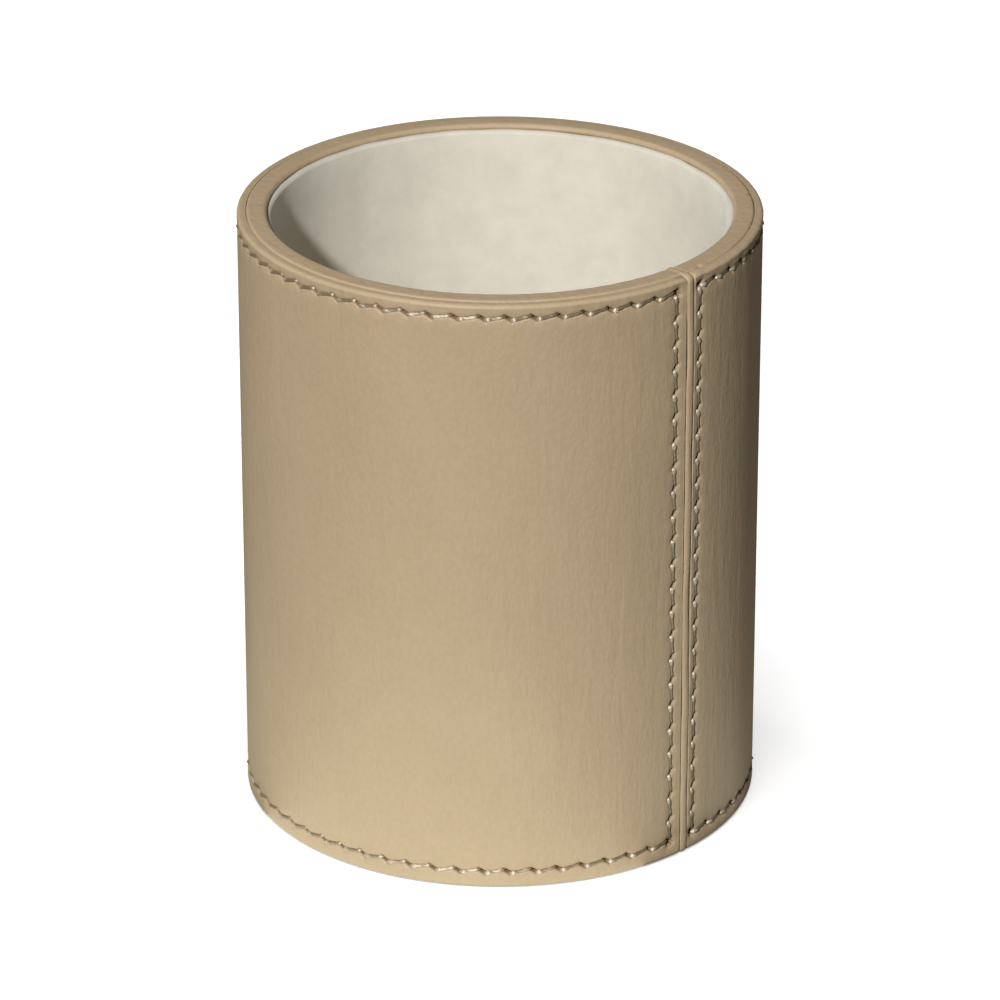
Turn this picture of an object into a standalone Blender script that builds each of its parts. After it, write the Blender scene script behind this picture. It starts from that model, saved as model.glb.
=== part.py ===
"""Pen holder cup: a board tube covered in stitched leather and lined with suede.

The leather panel is cut flat, its edges are turned in, it is stitched right round and
then rolled round the tube, so the panel, its thread and the boards that follow it are
made flat here too and rolled up as the last step. A flat point is (x, y, z): x along
the circumference from the middle of the back, y outwards from the cup's outer face
(always zero or less), z up. The seam is at -Y, the underside at Z = 0.
"""

import math

import bmesh
import bpy
from mathutils import Matrix, Vector

MM = 0.001

# Overall
OUTER_DIAMETER = 83.5 * MM
HEIGHT = 100.0 * MM

# Layers of the wall, each one's own thickness
PANEL_LEATHER = 0.8 * MM
TURN_IN_LEATHER = 0.4 * MM
SKIN_LEATHER = 0.4 * MM
CORE_WALL = 1.3 * MM
LINER_TOP_WALL = 0.35 * MM
LINING_CLOTH = 0.35 * MM
GLUE_GAP = 0.3 * MM

# Outer panel
PANEL_LIFT = 0.3 * MM
PANEL_TOP_DROP = 0.35 * MM
PANEL_EDGE_ROUND = 0.9 * MM
HEM_WIDTH = 8.0 * MM

# Stitching
THREAD_DIAMETER = 0.4 * MM
BOBBIN_DIAMETER = 0.3 * MM
THREAD_CLEARANCE = 0.1 * MM
STITCH_DIP = 0.1 * MM
STITCH_PITCH = 4.1 * MM
TOP_ROW_INSET = 2.05 * MM
BOTTOM_ROW_INSET = 2.5 * MM
LEFT_ROW_INSET = 2.0 * MM
RIGHT_ROW_INSET = 1.4 * MM

# Welt in the seam
WELT_WIDTH = 1.2 * MM
WELT_ROUND = 0.3 * MM
WELT_CORNER = 1.2 * MM
WELT_FLANGE_WIDTH = 12.0 * MM

# Rim, mouth and base
RIM_LEG = 8.0 * MM
RIM_EDGE_ROUND = 0.35 * MM
LINING_DROP = 0.4 * MM
BASE_FLANGE_HEIGHT = 8.0 * MM
BASE_EDGE_ROUND = 0.3 * MM
BASE_BOARD = 3.0 * MM
FLOOR_BOARD = 1.2 * MM

# Fineness of the curved faces
SIDES = 72
ARC_STEPS = 3
WELT_ROUND_STEPS = 2
POINTS_PER_STITCH = 2

# Radii, from the outside in
OUTER_R = OUTER_DIAMETER / 2
PANEL_BACK = PANEL_LEATHER + TURN_IN_LEATHER
HEM_IN_R = OUTER_R - PANEL_BACK
SKIN_OUT_R = HEM_IN_R - GLUE_GAP
SKIN_IN_R = SKIN_OUT_R - SKIN_LEATHER
CORE_OUT_R = SKIN_IN_R - GLUE_GAP
CORE_IN_R = CORE_OUT_R - CORE_WALL
RIM_LEG_OUT_R = CORE_IN_R - GLUE_GAP
RIM_LEG_IN_R = RIM_LEG_OUT_R - SKIN_LEATHER
LINER_OUT_R = RIM_LEG_IN_R - GLUE_GAP
LINER_IN_R = LINER_OUT_R - LINER_TOP_WALL
LINING_OUT_R = LINER_IN_R - GLUE_GAP
LINING_IN_R = LINING_OUT_R - LINING_CLOTH

# Heights, from the underside up
CORE_BOTTOM = SKIN_LEATHER + GLUE_GAP
CORE_TOP = HEIGHT - SKIN_LEATHER - GLUE_GAP
BASE_BOARD_TOP = CORE_BOTTOM + BASE_BOARD
LINER_BOTTOM = BASE_BOARD_TOP + GLUE_GAP
FLOOR_BOARD_TOP = LINER_BOTTOM + FLOOR_BOARD
LINING_FLOOR_BOTTOM = FLOOR_BOARD_TOP + GLUE_GAP
LINING_FLOOR_TOP = LINING_FLOOR_BOTTOM + LINING_CLOTH
LINING_TOP = HEIGHT - LINING_DROP
LINER_TOP = LINING_TOP - LINING_CLOTH - GLUE_GAP
PANEL_BOTTOM = PANEL_LIFT
PANEL_TOP = HEIGHT - PANEL_TOP_DROP
POCKET_BOTTOM = PANEL_BOTTOM + HEM_WIDTH
POCKET_TOP = PANEL_TOP - HEM_WIDTH
RIM_LEG_BOTTOM = HEIGHT - RIM_LEG
CLEAR_OF_BASE_FLANGE = BASE_FLANGE_HEIGHT + GLUE_GAP
CLEAR_OF_RIM_LEG = RIM_LEG_BOTTOM - GLUE_GAP

# The seam, in flat sizes
HALF_ROUND = math.pi * OUTER_R
SEAM_HALF_GAP = WELT_WIDTH / 2 + GLUE_GAP
PANEL_END = HALF_ROUND - SEAM_HALF_GAP
POCKET_END = PANEL_END - HEM_WIDTH

# The thread's rectangle on the flat panel
ROW_LEFT = LEFT_ROW_INSET - PANEL_END
ROW_RIGHT = PANEL_END - RIGHT_ROW_INSET
ROW_BOTTOM = PANEL_BOTTOM + BOTTOM_ROW_INSET
ROW_TOP = PANEL_TOP - TOP_ROW_INSET
THREAD_CHANNEL_DEPTH = THREAD_DIAMETER + STITCH_DIP + THREAD_CLEARANCE
THREAD_CHANNEL_HALF = THREAD_DIAMETER / 2 + THREAD_CLEARANCE
BOBBIN_CHANNEL_DEPTH = BOBBIN_DIAMETER + THREAD_CLEARANCE
BOBBIN_CHANNEL_HALF = BOBBIN_DIAMETER / 2 + THREAD_CLEARANCE

# How far a cutter runs past the face it opens
OVERCUT = 1.0 * MM
MERGE = 0.01 * MM
SHARP_ANGLE = math.radians(35)
FLAT_ANGLE = math.radians(1)


def clear_scene():
    for obj in list(bpy.data.objects):
        bpy.data.objects.remove(obj, do_unlink=True)


def new_collection(name):
    collection = bpy.data.collections.new(name)
    bpy.context.scene.collection.children.link(collection)
    return collection


def new_material(name, colour, roughness):
    material = bpy.data.materials.new(name)
    material.use_nodes = True
    shader = material.node_tree.nodes["Principled BSDF"]
    shader.inputs["Base Color"].default_value = (*colour, 1.0)
    shader.inputs["Roughness"].default_value = roughness
    shader.inputs["Metallic"].default_value = 0.0
    material.diffuse_color = (*colour, 1.0)
    return material


def add_object(name, data, collection, material=None):
    obj = bpy.data.objects.new(name, data)
    collection.objects.link(obj)
    if material:
        data.materials.append(material)
    return obj


def bake(obj):
    """Replaces an object's data with what its modifiers, or its curve settings, make of it."""
    bpy.context.view_layer.update()
    evaluated = obj.evaluated_get(bpy.context.evaluated_depsgraph_get())
    mesh = bpy.data.meshes.new_from_object(evaluated)
    mesh.transform(obj.matrix_world)
    name = obj.name
    collection = obj.users_collection[0]
    bpy.data.objects.remove(obj, do_unlink=True)
    mesh.name = name
    return add_object(name, mesh, collection)


def shade(obj):
    obj.data.shade_smooth()
    obj.data.set_sharp_from_angle(angle=SHARP_ANGLE)
    return obj


# Flat work, and rolling it up


def rolled(x, y, z):
    """The place on the cup of a point of the flat work."""
    angle = x / OUTER_R
    radius = OUTER_R + y
    return Vector((radius * math.sin(angle), radius * math.cos(angle), z))


def roll_up(obj):
    """Rolls a flat object round the cup, with a fold line at each facet's edge."""
    mesh = obj.data
    form = bmesh.new()
    form.from_mesh(mesh)
    bmesh.ops.remove_doubles(form, verts=form.verts, dist=MERGE)
    ends = [vert.co.x for vert in form.verts]
    facet = 2 * HALF_ROUND / SIDES
    for step in range(math.ceil(min(ends) / facet), math.floor(max(ends) / facet) + 1):
        geometry = form.verts[:] + form.edges[:] + form.faces[:]
        fold = Vector((step * facet, 0, 0))
        bmesh.ops.bisect_plane(form, geom=geometry, dist=MERGE, plane_co=fold, plane_no=(1, 0, 0))
    for vert in form.verts:
        vert.co = rolled(*vert.co)
    bmesh.ops.recalc_face_normals(form, faces=form.faces)
    form.to_mesh(mesh)
    form.free()
    return shade(obj)


def box(name, low, high, collection, material=None):
    mesh = bpy.data.meshes.new(name)
    form = bmesh.new()
    bmesh.ops.create_cube(form, size=1.0)
    size = Vector(high) - Vector(low)
    bmesh.ops.scale(form, vec=size, verts=form.verts)
    bmesh.ops.translate(form, vec=Vector(low) + size / 2, verts=form.verts)
    form.to_mesh(mesh)
    form.free()
    return add_object(name, mesh, collection, material)


def boolean(obj, other, operation="DIFFERENCE"):
    modifier = obj.modifiers.new(f"{operation.lower()} {other.name}", "BOOLEAN")
    modifier.operation = operation
    modifier.solver = "EXACT"
    modifier.object = other


def as_cutter(obj):
    obj.hide_render = True
    obj.display_type = "WIRE"
    return obj


def row_cutter(name, half_width, y_low, y_high):
    """A rectangular frame that cuts one channel along all four rows of stitches."""
    outer = box(
        name,
        (ROW_LEFT - half_width, y_low, ROW_BOTTOM - half_width),
        (ROW_RIGHT + half_width, y_high, ROW_TOP + half_width),
        cutters,
    )
    inner = box(
        f"{name}_middle",
        (ROW_LEFT + half_width, y_low - OVERCUT, ROW_BOTTOM + half_width),
        (ROW_RIGHT - half_width, y_high + OVERCUT, ROW_TOP - half_width),
        cutters,
    )
    boolean(outer, as_cutter(inner))
    return as_cutter(outer)


def arc(centre, radius, start_degrees, end_degrees, steps=ARC_STEPS):
    """Points of an arc in an outline's own plane, both ends included."""
    points = []
    for step in range(steps + 1):
        angle = math.radians(start_degrees + (end_degrees - start_degrees) * step / steps)
        points.append((centre[0] + radius * math.cos(angle), centre[1] + radius * math.sin(angle)))
    return points


def extruded_outline(name, outline, x_low, x_high, material):
    """An outline of (y, z) points made solid from x_low to x_high."""
    curve = bpy.data.curves.new(name, "CURVE")
    curve.dimensions = "2D"
    curve.fill_mode = "BOTH"
    curve.extrude = (x_high - x_low) / 2
    spline = curve.splines.new("POLY")
    spline.points.add(len(outline) - 1)
    for point, (y, z) in zip(spline.points, outline):
        point.co = (y, z, 0, 1)
    spline.use_cyclic_u = True
    obj = add_object(name, curve, parts)
    # The curve's own X, Y and Z become the part's Y, Z and X.
    turn = Matrix(((0, 0, 1, 0), (1, 0, 0, 0), (0, 1, 0, 0), (0, 0, 0, 1)))
    obj.matrix_world = Matrix.Translation(((x_low + x_high) / 2, 0, 0)) @ turn
    obj = bake(obj)
    form = bmesh.new()
    form.from_mesh(obj.data)
    bmesh.ops.remove_doubles(form, verts=form.verts, dist=MERGE)
    # Each end becomes one flat face, so that its border can be rounded.
    bmesh.ops.dissolve_limit(form, angle_limit=FLAT_ANGLE, verts=form.verts, edges=form.edges)
    bmesh.ops.recalc_face_normals(form, faces=form.faces)
    form.to_mesh(obj.data)
    form.free()
    obj.data.materials.clear()
    obj.data.materials.append(material)
    return obj


def round_edges(obj, radius, steps, chosen):
    """Rounds the edges whose two ends satisfy the test together."""
    form = bmesh.new()
    form.from_mesh(obj.data)
    edges = [edge for edge in form.edges if chosen(edge.verts[0].co, edge.verts[1].co)]
    bmesh.ops.bevel(form, geom=edges, offset=radius, segments=steps, profile=0.5, affect="EDGES")
    form.to_mesh(obj.data)
    form.free()


def turned(name, profile, material):
    """A ring or disc turned from (radius, z) points that run down its outer side."""
    mesh = bpy.data.meshes.new(name)
    form = bmesh.new()
    verts = [form.verts.new((radius, 0, z)) for radius, z in profile]
    on_axis = profile[0][0] == 0 and profile[-1][0] == 0
    for first, second in zip(verts, verts[1:]):
        form.edges.new((first, second))
    if not on_axis:
        form.edges.new((verts[-1], verts[0]))
    form.to_mesh(mesh)
    form.free()
    obj = add_object(name, mesh, parts)
    screw = obj.modifiers.new("turn", "SCREW")
    screw.steps = SIDES
    screw.render_steps = SIDES
    screw.use_merge_vertices = True
    screw.merge_threshold = MERGE
    obj = bake(obj)
    obj.data.materials.append(material)
    return shade(obj)


# The outside


def make_outer_wrap():
    obj = box(
        "outer_wrap",
        (-PANEL_END, -PANEL_BACK, PANEL_BOTTOM),
        (PANEL_END, 0, PANEL_TOP),
        parts,
    )

    def on_outer_face(first, second):
        return abs(first.y) < MERGE and abs(second.y) < MERGE

    round_edges(obj, PANEL_EDGE_ROUND, ARC_STEPS, on_outer_face)
    # Behind the middle there is one thickness of leather; the turned edge leaves two.
    pocket = box(
        "panel_pocket",
        (-POCKET_END, -PANEL_BACK - OVERCUT, POCKET_BOTTOM),
        (POCKET_END, -PANEL_LEATHER, POCKET_TOP),
        cutters,
    )
    boolean(obj, as_cutter(pocket))
    boolean(obj, row_cutter("thread_channel", THREAD_CHANNEL_HALF, -THREAD_CHANNEL_DEPTH, OVERCUT))
    bobbin_floor = BOBBIN_CHANNEL_DEPTH - PANEL_BACK
    boolean(obj, row_cutter("bobbin_channel", BOBBIN_CHANNEL_HALF, -PANEL_BACK - OVERCUT, bobbin_floor))
    obj = bake(obj)
    obj.data.materials.append(LEATHER)
    return roll_up(obj)


def make_filler_board():
    """Fills the depth between the tube and the panel's single leather, inside the turned edge."""
    bottom = max(CLEAR_OF_BASE_FLANGE, POCKET_BOTTOM + GLUE_GAP)
    top = min(CLEAR_OF_RIM_LEG, POCKET_TOP - GLUE_GAP)
    obj = box(
        "filler_board",
        (GLUE_GAP - POCKET_END, CORE_OUT_R + GLUE_GAP - OUTER_R, bottom),
        (POCKET_END - GLUE_GAP, -PANEL_LEATHER - GLUE_GAP, top),
        parts,
        GREY_BOARD,
    )
    return roll_up(obj)


def stitch_points(width, dip, points_per_stitch):
    """The thread's centre line round the four rows: down at each hole, up between holes."""
    corners = [
        (ROW_LEFT, ROW_BOTTOM),
        (ROW_RIGHT, ROW_BOTTOM),
        (ROW_RIGHT, ROW_TOP),
        (ROW_LEFT, ROW_TOP),
    ]
    points = []
    for (x0, z0), (x1, z1) in zip(corners, corners[1:] + corners[:1]):
        stitches = round(math.hypot(x1 - x0, z1 - z0) / STITCH_PITCH)
        steps = stitches * points_per_stitch
        for step in range(steps):
            share = step / steps
            depth = width / 2 + (dip if step % points_per_stitch == 0 else 0)
            points.append((x0 + (x1 - x0) * share, depth, z0 + (z1 - z0) * share))
    return points


def thread_loop(name, points, diameter, material):
    curve = bpy.data.curves.new(name, "CURVE")
    curve.dimensions = "3D"
    curve.bevel_depth = diameter / 2
    curve.bevel_resolution = 0
    curve.resolution_u = 1
    spline = curve.splines.new("POLY")
    spline.points.add(len(points) - 1)
    for point, place in zip(spline.points, points):
        point.co = (*rolled(*place), 1)
    spline.use_cyclic_u = True
    return add_object(name, curve, parts, material)


def make_needle_thread():
    points = stitch_points(THREAD_DIAMETER, STITCH_DIP, POINTS_PER_STITCH)
    on_face = [(x, -depth, z) for x, depth, z in points]
    return thread_loop("needle_thread", on_face, THREAD_DIAMETER, THREAD)


def make_bobbin_thread():
    points = stitch_points(BOBBIN_DIAMETER, 0, 1)
    on_back = [(x, depth - PANEL_BACK, z) for x, depth, z in points]
    return thread_loop("bobbin_thread", on_back, BOBBIN_DIAMETER, THREAD)


def make_seam_welt():
    """A folded bead up the seam, over the rim and into the mouth, on a flange behind the panel."""
    top_face = HEIGHT - SKIN_LEATHER
    outline = [(-OUTER_R, PANEL_BOTTOM)]
    outline += arc((WELT_CORNER - OUTER_R, HEIGHT - WELT_CORNER), WELT_CORNER, 180, 90)
    mouth_corner = (-RIM_LEG_IN_R - RIM_EDGE_ROUND, HEIGHT - RIM_EDGE_ROUND)
    outline += arc(mouth_corner, RIM_EDGE_ROUND, 90, 0)
    outline += [
        (-RIM_LEG_IN_R, RIM_LEG_BOTTOM),
        (-RIM_LEG_OUT_R, RIM_LEG_BOTTOM),
        (-RIM_LEG_OUT_R, top_face),
        (-HEM_IN_R, top_face),
        (-HEM_IN_R, CLEAR_OF_RIM_LEG),
        (-SKIN_IN_R, CLEAR_OF_RIM_LEG),
        (-SKIN_IN_R, CLEAR_OF_BASE_FLANGE),
        (-HEM_IN_R, CLEAR_OF_BASE_FLANGE),
        (-HEM_IN_R, PANEL_BOTTOM),
    ]
    bead = extruded_outline("seam_welt", outline, -WELT_WIDTH / 2, WELT_WIDTH / 2, LEATHER)

    def in_sight(co):
        return co.y < -HEM_IN_R - MERGE or co.z > top_face + MERGE or co.y > -RIM_LEG_IN_R - MERGE

    def along_one_side(first, second):
        return in_sight(first) and in_sight(second) and abs(first.x - second.x) < MERGE

    round_edges(bead, WELT_ROUND, WELT_ROUND_STEPS, along_one_side)
    flange_x = WELT_FLANGE_WIDTH / 2
    flange = box(
        "welt_flange",
        (-flange_x, SKIN_IN_R - OUTER_R, CLEAR_OF_BASE_FLANGE),
        (flange_x, SKIN_OUT_R - OUTER_R, CLEAR_OF_RIM_LEG),
        cutters,
    )
    roll_up(flange)
    # Rolled work has its middle at the back, so the flange turns half round to the seam.
    flange.rotation_euler.z = math.pi
    boolean(bead, as_cutter(flange), "UNION")
    return shade(bake(bead))


def make_rim_band():
    """Leather folded over the tube's top edge; its two ends meet at the welt."""
    out_y = SKIN_OUT_R - OUTER_R
    in_y = RIM_LEG_IN_R - OUTER_R
    round_z = HEIGHT - RIM_EDGE_ROUND
    outline = [(out_y, RIM_LEG_BOTTOM)]
    outline += arc((out_y - RIM_EDGE_ROUND, round_z), RIM_EDGE_ROUND, 0, 90)
    outline += arc((in_y + RIM_EDGE_ROUND, round_z), RIM_EDGE_ROUND, 90, 180)
    outline += [
        (in_y, RIM_LEG_BOTTOM),
        (in_y + SKIN_LEATHER, RIM_LEG_BOTTOM),
        (in_y + SKIN_LEATHER, HEIGHT - SKIN_LEATHER),
        (out_y - SKIN_LEATHER, HEIGHT - SKIN_LEATHER),
        (out_y - SKIN_LEATHER, RIM_LEG_BOTTOM),
    ]
    return roll_up(extruded_outline("rim_band", outline, -PANEL_END, PANEL_END, LEATHER))


# The boards


def make_core_tube():
    profile = [
        (CORE_OUT_R, CORE_TOP),
        (CORE_OUT_R, CORE_BOTTOM),
        (CORE_IN_R, CORE_BOTTOM),
        (CORE_IN_R, CORE_TOP),
    ]
    return turned("core_tube", profile, GREY_BOARD)


def make_liner_board():
    """The sleeve behind the suede, thinned at the top to pass the rim band's inner leg."""
    profile = [
        (LINER_OUT_R, LINER_TOP),
        (LINER_OUT_R, CLEAR_OF_RIM_LEG),
        (RIM_LEG_OUT_R, CLEAR_OF_RIM_LEG),
        (RIM_LEG_OUT_R, LINER_BOTTOM),
        (LINER_IN_R, LINER_BOTTOM),
        (LINER_IN_R, LINER_TOP),
    ]
    return turned("liner_board", profile, GREY_BOARD)


def disc(name, radius, bottom, top, material):
    return turned(name, [(0, top), (radius, top), (radius, bottom), (0, bottom)], material)


def make_boards():
    make_core_tube()
    make_filler_board()
    make_liner_board()
    disc("base_board", CORE_IN_R - GLUE_GAP, CORE_BOTTOM, BASE_BOARD_TOP, GREY_BOARD)
    disc("floor_board", LINING_IN_R - GLUE_GAP, LINER_BOTTOM, FLOOR_BOARD_TOP, GREY_BOARD)


# The base and the inside


def make_base_cover():
    """The underside's leather, its edge turned up round the tube behind the panel."""
    profile = [(SKIN_OUT_R, BASE_FLANGE_HEIGHT)]
    profile += arc((SKIN_OUT_R - BASE_EDGE_ROUND, BASE_EDGE_ROUND), BASE_EDGE_ROUND, 0, -90)
    profile += [
        (0, 0),
        (0, SKIN_LEATHER),
        (SKIN_IN_R, SKIN_LEATHER),
        (SKIN_IN_R, BASE_FLANGE_HEIGHT),
    ]
    return turned("base_cover", profile, LEATHER)


def make_lining():
    """Suede up the inside and rolled over the liner board's top edge."""
    lip = LINING_CLOTH
    profile = [(LINER_OUT_R, LINING_TOP - LINING_CLOTH)]
    profile += [
        (LINING_OUT_R, LINING_TOP - LINING_CLOTH),
        (LINING_OUT_R, LINER_BOTTOM),
        (LINING_IN_R, LINER_BOTTOM),
    ]
    profile += arc((LINING_IN_R + lip, LINING_TOP - lip), lip, 180, 90)
    profile += arc((LINER_OUT_R - lip, LINING_TOP - lip), lip, 90, 0)[:-1]
    turned("lining_sleeve", profile, SUEDE)
    disc("lining_floor", LINING_IN_R - GLUE_GAP, LINING_FLOOR_BOTTOM, LINING_FLOOR_TOP, SUEDE)


clear_scene()
parts = new_collection("pen_holder_cup")
cutters = new_collection("cutters")
LEATHER = new_material("beige_leather", (0.42, 0.33, 0.22), 0.55)
THREAD = new_material("cream_thread", (0.78, 0.66, 0.50), 0.6)
SUEDE = new_material("off_white_suede", (0.70, 0.63, 0.52), 0.95)
GREY_BOARD = new_material("grey_board", (0.34, 0.32, 0.29), 0.9)
make_outer_wrap()
make_needle_thread()
make_bobbin_thread()
make_seam_welt()
make_rim_band()
make_boards()
make_base_cover()
make_lining()
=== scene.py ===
import math

import bmesh
import bpy
import numpy as np
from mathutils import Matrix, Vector


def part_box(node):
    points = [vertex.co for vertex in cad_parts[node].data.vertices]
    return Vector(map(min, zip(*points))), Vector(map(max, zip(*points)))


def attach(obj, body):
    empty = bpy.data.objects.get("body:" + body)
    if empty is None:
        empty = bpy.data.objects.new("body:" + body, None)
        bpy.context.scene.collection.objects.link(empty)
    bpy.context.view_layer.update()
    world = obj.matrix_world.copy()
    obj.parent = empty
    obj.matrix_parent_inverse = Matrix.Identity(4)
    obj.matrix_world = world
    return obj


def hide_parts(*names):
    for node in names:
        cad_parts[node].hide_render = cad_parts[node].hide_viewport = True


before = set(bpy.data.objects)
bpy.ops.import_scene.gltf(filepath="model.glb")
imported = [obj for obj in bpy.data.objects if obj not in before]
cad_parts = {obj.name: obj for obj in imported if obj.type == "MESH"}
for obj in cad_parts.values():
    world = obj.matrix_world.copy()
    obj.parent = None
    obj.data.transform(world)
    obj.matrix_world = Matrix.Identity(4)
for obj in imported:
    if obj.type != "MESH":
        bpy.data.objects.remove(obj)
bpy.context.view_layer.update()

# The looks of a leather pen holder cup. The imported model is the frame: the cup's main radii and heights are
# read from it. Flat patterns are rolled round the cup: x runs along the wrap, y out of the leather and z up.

MM = 0.001
SEED = 11

# ---------------------------------------------------------------- sizes read from the frame

WRAP_LOW, WRAP_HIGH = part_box("outer_wrap")
RIM_LOW, RIM_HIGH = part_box("rim_band")
BASE_LOW, BASE_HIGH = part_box("base_cover")
WELT_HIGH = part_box("seam_welt")[1]
SLEEVE_LOW, SLEEVE_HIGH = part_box("lining_sleeve")
FLOOR_LOW, FLOOR_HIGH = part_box("lining_floor")
LINER_LOW, LINER_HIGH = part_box("liner_board")

OUTER_RADIUS = WRAP_HIGH.y
FOOT_DROP, TOP_RISE = 0.24 * MM, 0.1 * MM       # how far the soft leather reaches past the CAD panel
PANEL_BOTTOM, PANEL_TOP = WRAP_LOW.z - FOOT_DROP, WRAP_HIGH.z + TOP_RISE
SKIN_RADIUS = RIM_HIGH.y
RIM_TOP, RIM_BOTTOM = RIM_HIGH.z, RIM_LOW.z
LIP_RADIUS = SLEEVE_HIGH.y
LIP_TOP, SLEEVE_BOTTOM = SLEEVE_HIGH.z, SLEEVE_LOW.z

# ---------------------------------------------------------------- sizes of the leather goods work

SKIN_LEATHER = 0.4 * MM
PANEL_LEATHER = 0.8 * MM
HEM_THICKNESS = 1.2 * MM
EDGE_THICKNESS = 1.45 * MM
PRESSED_EDGE = 1.0 * MM
HEM_WIDTH = 8.0 * MM
EDGE_ROUND = 0.7 * MM
CORNER_ROUND = 0.9 * MM
SEAM_ROUND = 0.32 * MM
SEAM_HALF_GAP = 0.9 * MM
PANEL_HALF_GAP = 0.76 * MM
BEAD_HALF_WIDTH = 0.72 * MM
TOP_ROW_HEIGHT = 97.6 * MM
BOTTOM_ROW_HEIGHT = 2.8 * MM
LEFT_ROW_FROM_SEAM = 2.9 * MM
RIGHT_ROW_FROM_SEAM = 2.3 * MM
STITCH_PITCH = 4.1 * MM
BEAD_STANDS_PROUD = 0.1 * MM
BEAD_RADIUS = OUTER_RADIUS + BEAD_STANDS_PROUD
THREAD_RADIUS = 0.265 * MM
RIM_INNER_RADIUS = 37.3 * MM
RIM_SWELL = 0.35 * MM
SWELL_LOW, SWELL_HIGH = 98.85 * MM, 99.3 * MM
LINING_INNER_RADIUS = 36.25 * MM
LINING_CLOTH = 0.35 * MM
LIP_SETTLE = 0.42 * MM
LINER_CLEARANCE = 0.3 * MM

HALF_TURN = math.pi * OUTER_RADIUS
PANEL_END = HALF_TURN - PANEL_HALF_GAP

HAIR = 0.01 * MM            # tolerance when a shape tells its front points from its back ones
SHARP_ANGLE = 50            # degrees between faces, above which an edge stays sharp

rng = np.random.default_rng(SEED)


# ---------------------------------------------------------------- mesh helpers

def rolled(points):
    """Flat pattern points, rolled round the cup; flat x = 0 is the back, and the seam is at the front."""
    angle = points[:, 0] / OUTER_RADIUS
    radius = OUTER_RADIUS + points[:, 1]
    return np.stack([radius * np.sin(angle), radius * np.cos(angle), points[:, 2]], axis=1)


def mesh_object(name, points, faces, material, sharp_angle=SHARP_ANGLE):
    """A new object of these points and faces, finished."""
    mesh = bpy.data.meshes.new(name)
    mesh.from_pydata([tuple(p) for p in points], [], faces)
    mesh.validate()
    obj = bpy.data.objects.new(name, mesh)
    bpy.context.scene.collection.objects.link(obj)
    return finish_mesh(obj, material, sharp_angle)


def finish_mesh(obj, material, sharp_angle=SHARP_ANGLE):
    """Faces point out, the surface is smooth but for sharp edges, and the material is on it."""
    bm = bmesh.new()
    bm.from_mesh(obj.data)
    bmesh.ops.recalc_face_normals(bm, faces=bm.faces)
    bm.to_mesh(obj.data)
    bm.free()
    obj.data.shade_smooth()
    obj.data.set_sharp_from_angle(angle=math.radians(sharp_angle))
    obj.data.materials.append(material)
    return obj


def put_attribute(obj, name, values):
    """A number for each point of the mesh, which a material can read."""
    numbers = obj.data.attributes.new(name, "FLOAT", "POINT")
    numbers.data.foreach_set("value", np.asarray(values, np.float32))


def place(obj, node):
    """The piece stands in for its CAD node: that node is hidden, and the piece hangs under the root body;
    nothing on this cup moves.
    """
    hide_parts(node)
    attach(obj, "root")


def ripple(turn, amount, waves, seed):
    """A gentle unevenness round the cup: a sum of whole waves with fixed random phases."""
    draw = np.random.default_rng(seed)
    total = np.zeros_like(turn)
    for count in waves:
        total += np.sin(count * turn + draw.uniform(0, 2 * math.pi)) * draw.uniform(0.6, 1.0)
    return amount * total / len(waves)


def grid_faces(rows, columns, closed_rows=False, closed_columns=False):
    """Quads between neighbouring points of a rows x columns net, numbered row by row."""
    faces = []
    for r in range(rows if closed_rows else rows - 1):
        below, above = r * columns, ((r + 1) % rows) * columns
        for c in range(columns if closed_columns else columns - 1):
            d = (c + 1) % columns
            faces.append((below + c, below + d, above + d, above + c))
    return faces


def lathe(name, profile, columns, material, sweep=None, shape=None):
    """Turns a profile of (radius, height) points. With a sweep it stops at both sides of the seam, with
    flat ends. A profile that starts and ends on the axis closes there; any other is a closed loop."""
    profile = np.array(profile)
    on_axis = profile[0][0] == 0 and profile[-1][0] == 0
    ring = profile[1:-1] if on_axis else profile
    if sweep is None:
        turn = np.linspace(-math.pi, math.pi, columns, endpoint=False)
    else:
        turn = np.linspace(-sweep, sweep, columns)
    angle, radius = np.meshgrid(turn, ring[:, 0], indexing="ij")
    height = np.broadcast_to(ring[:, 1], radius.shape)
    if shape:
        radius, height = shape(angle, radius, height)
    points = np.stack([radius * np.sin(angle), radius * np.cos(angle), height], axis=2).reshape(-1, 3)
    count = len(ring)
    faces = grid_faces(columns, count, closed_rows=sweep is None, closed_columns=not on_axis)
    if on_axis:
        first, last = len(points), len(points) + 1
        points = np.vstack([points, [(0, 0, profile[0][1]), (0, 0, profile[-1][1])]])
        for c in range(columns):
            d = (c + 1) % columns
            faces.append((first, c * count, d * count))
            faces.append((last, (d + 1) * count - 1, (c + 1) * count - 1))
    elif sweep is not None:
        faces.append(tuple(range(count)))
        faces.append(tuple(range(len(points) - 1, len(points) - 1 - count, -1)))
    return mesh_object(name, points, faces, material)


def arc(centre, radius, start, end, steps):
    """Points of a circular arc in the profile's plane, angles in degrees from outward, counter-clockwise."""
    return [(centre[0] + radius * math.cos(math.radians(a)), centre[1] + radius * math.sin(math.radians(a)))
            for a in np.linspace(start, end, steps + 1)]


def upright(radius, low, high, step):
    """Points up or down a cylinder wall."""
    count = max(1, math.ceil(abs(high - low) / step))
    return [(radius, z) for z in np.linspace(low, high, count + 1)]


# ---------------------------------------------------------------- material helpers

def new_material(name, colour, roughness, specular):
    """A Principled material, with its plain values set on the shader's own sockets."""
    material = bpy.data.materials.new(name)
    material.use_nodes = True
    shader = material.node_tree.nodes["Principled BSDF"]
    shader.inputs["Base Color"].default_value = (*colour, 1)
    shader.inputs["Roughness"].default_value = roughness
    shader.inputs["Specular IOR Level"].default_value = specular
    material.diffuse_color = (*colour, 1)
    return material


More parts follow.
